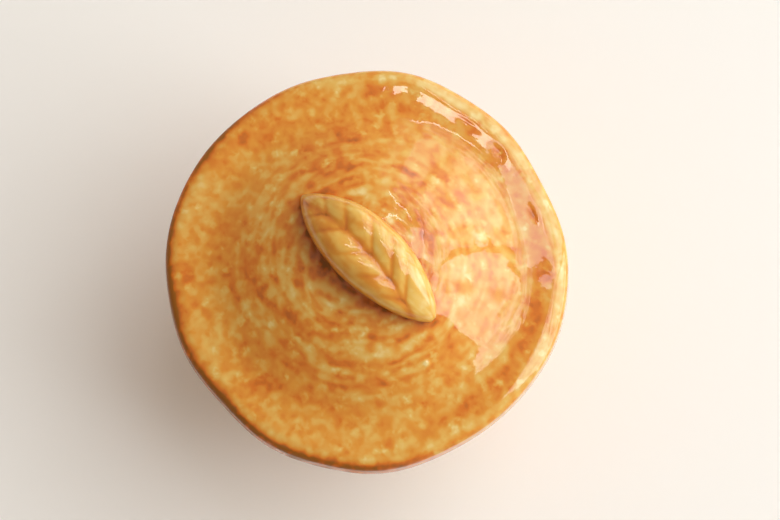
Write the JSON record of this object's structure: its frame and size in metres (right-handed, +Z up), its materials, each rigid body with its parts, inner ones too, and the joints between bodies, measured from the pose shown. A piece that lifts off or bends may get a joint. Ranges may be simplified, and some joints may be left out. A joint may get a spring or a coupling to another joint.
{
  "type": "lidded custard cup",
  "caption": "Round glazed stoneware custard cup on a foot ring, with a crowned pie-crust lid that drops into the mouth and is lifted by a leaf-shaped knob.",
  "frame": {"origin": "on the table, on the vertical axis of the cup, at the bottom of the foot ring", "axes": "+Z up, out of the mouth of the cup; the leaf knob lies along X with its tip towards -X"},
  "size_m": [0.0998, 0.0991, 0.0873],
  "materials": {
    "honey_glaze": "glossy honey-amber glaze, mottled where it pools and thins",
    "leaf_glaze": "the same glossy glaze lying thinner and paler over the raised leaf",
    "bare_stoneware": "unglazed buff stoneware, fine matt grain"
  },
  "bodies": {
    "cup": {"cup_body": "honey_glaze", "foot_ring": "bare_stoneware"},
    "lid": {"lid_crust": "honey_glaze", "lid_locating_ring": "bare_stoneware", "knob_stem": "honey_glaze", "leaf_knob": "leaf_glaze"}
  },
  "joints": [
    {"name": "lid_lift", "type": "slide", "parent": "cup", "child": "lid", "axis": [0, 0, 1], "range_m": [0, 0.08]}
  ]
}
